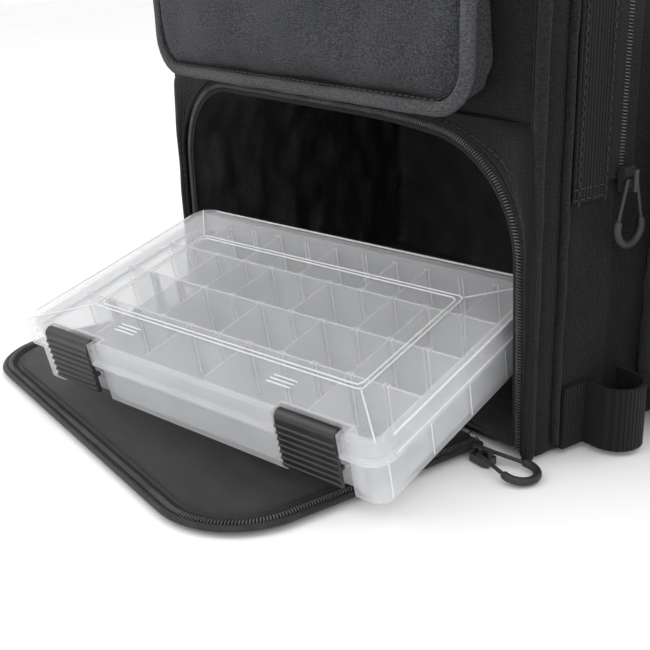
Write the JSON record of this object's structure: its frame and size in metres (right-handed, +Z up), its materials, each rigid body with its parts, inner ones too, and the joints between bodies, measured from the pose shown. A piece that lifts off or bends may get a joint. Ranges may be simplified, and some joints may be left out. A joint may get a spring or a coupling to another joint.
{
  "type": "tackle backpack",
  "caption": "Soft fishing backpack standing upright with its padded tray-pocket flap dropped open and a clear lidded tackle tray drawn part way out of the pocket.",
  "frame": {"origin": "centre of the bag base, on the surface the bag stands on", "axes": "+Z up, the bag front and the open flap face -Y, +X to the right seen from the front"},
  "size_m": [0.437, 0.464, 0.5006],
  "materials": {
    "charcoal_fabric": "heathered woven polyester",
    "lining_fabric": "satin coated lining",
    "heather_fabric": "heathered grey woven polyester",
    "grey_piping": "wrapped piping",
    "black_piping": "wrapped piping",
    "zip_coil": "nylon coil",
    "black_webbing": "ribbed webbing",
    "padded_mesh": "air mesh over foam",
    "black_plastic": "moulded",
    "slider_metal": "black enamel",
    "pull_rubber": "moulded grip on a cord loop",
    "clear_polypropylene": "translucent, satin",
    "latch_plastic": "moulded, ribbed"
  },
  "bodies": {
    "pack": {"base_panel": "charcoal_fabric", "back_panel": "charcoal_fabric", "main_front_panel": "charcoal_fabric", "top_panel": "charcoal_fabric", "tray_pocket_ceiling": "lining_fabric", "tray_pocket_front": "charcoal_fabric", "tray_opening_zip": "zip_coil", "front_pocket": "heather_fabric", "front_pocket_piping": "grey_piping", "front_pocket_zip": "zip_coil", "main_zip": "zip_coil", "back_pads": "padded_mesh", "tray_zip_slider": "slider_metal", "side_panel_left": "charcoal_fabric", "side_panel_right": "charcoal_fabric", "side_pocket_left": "heather_fabric", "side_pocket_right": "heather_fabric", "side_pocket_piping_left": "grey_piping", "side_pocket_piping_right": "grey_piping", "side_piping_left": "black_piping", "side_piping_right": "black_piping", "side_webbing_left": "black_webbing", "side_webbing_right": "black_webbing", "rod_loop_left": "black_webbing", "rod_loop_right": "black_webbing", "shoulder_strap_left": "padded_mesh", "shoulder_strap_right": "padded_mesh", "ladder_lock_left": "black_plastic", "ladder_lock_right": "black_plastic", "strap_tail_left": "black_webbing", "strap_tail_right": "black_webbing"},
    "flap": {"tray_flap": "charcoal_fabric", "flap_zip": "zip_coil"},
    "tray": {"tray_base": "clear_polypropylene", "tray_dividers": "clear_polypropylene"},
    "lid": {"tray_lid": "clear_polypropylene"},
    "latch_left": {"tray_latch_left": "latch_plastic"},
    "latch_right": {"tray_latch_right": "latch_plastic"},
    "tray_pull": {"tray_zip_pull": "pull_rubber"},
    "side_slider_left": {"side_zip_slider_left": "slider_metal"},
    "side_slider_right": {"side_zip_slider_right": "slider_metal"},
    "side_pull_left": {"side_zip_pull_left": "pull_rubber"},
    "side_pull_right": {"side_zip_pull_right": "pull_rubber"},
    "pocket_slider": {"pocket_zip_slider": "slider_metal"},
    "pocket_pull": {"pocket_zip_pull": "pull_rubber"},
    "handle": {"top_handle": "black_webbing"}
  },
  "joints": [
    {"name": "tray_draw", "type": "slide", "parent": "pack", "child": "tray", "axis": [-0.1527, -0.8144, 0.5599], "range_m": [0, 0.56]},
    {"name": "flap_hinge", "type": "hinge", "parent": "pack", "child": "flap", "pos_m": [0, -0.119, 0.004], "axis": [-1, 0, 0], "range_deg": [0, 90]},
    {"name": "lid_hinge", "type": "hinge", "parent": "tray", "child": "lid", "pos_m": [0.01998, -0.09694, 0.07668], "axis": [-0.9615, -0.2733, 0.029], "range_deg": [0, 46]},
    {"name": "latch_hinge_left", "type": "hinge", "parent": "lid", "child": "latch_left", "pos_m": [0.06418, -0.25538, 0.04892], "axis": [-0.9615, -0.2733, 0.029], "range_deg": [0, 95]},
    {"name": "latch_hinge_right", "type": "hinge", "parent": "lid", "child": "latch_right", "pos_m": [0.06418, -0.25538, 0.04892], "axis": [-0.9615, -0.2733, 0.029], "range_deg": [0, 95]},
    {"name": "tray_pull_hinge", "type": "hinge", "parent": "pack", "child": "tray_pull", "pos_m": [0.172, -0.131, 0.0066], "axis": [0.1392, -0.9903, 0], "range_deg": [0, 70]},
    {"name": "side_zip_slide_left", "type": "slide", "parent": "pack", "child": "side_slider_left", "axis": [0, 0, 1], "range_m": [0, 0.239]},
    {"name": "side_zip_slide_right", "type": "slide", "parent": "pack", "child": "side_slider_right", "axis": [0, 0, 1], "range_m": [0, 0.239]},
    {"name": "side_pull_hinge_left", "type": "hinge", "parent": "side_slider_left", "child": "side_pull_left", "pos_m": [-0.1981, -0.055, 0.148], "axis": [0, 1, 0], "range_deg": [0, 120]},
    {"name": "side_pull_hinge_right", "type": "hinge", "parent": "side_slider_right", "child": "side_pull_right", "pos_m": [0.1981, -0.055, 0.148], "axis": [0, -1, 0], "range_deg": [0, 120]},
    {"name": "pocket_zip_slide", "type": "slide", "parent": "pack", "child": "pocket_slider", "axis": [1, 0, 0], "range_m": [0, 0.252]},
    {"name": "pocket_pull_hinge", "type": "hinge", "parent": "pocket_slider", "child": "pocket_pull", "pos_m": [-0.126, -0.129, 0.3961], "axis": [0, -1, 0], "range_deg": [0, 150]},
    {"name": "handle_hinge", "type": "hinge", "parent": "pack", "child": "handle", "pos_m": [0, 0.108, 0.4626], "axis": [1, 0, 0], "range_deg": [-85, 85]}
  ],
  "couplings": [
    {"joint": "flap_hinge", "follows": "tray_draw", "rad_per_m": 2.805}
  ]
}
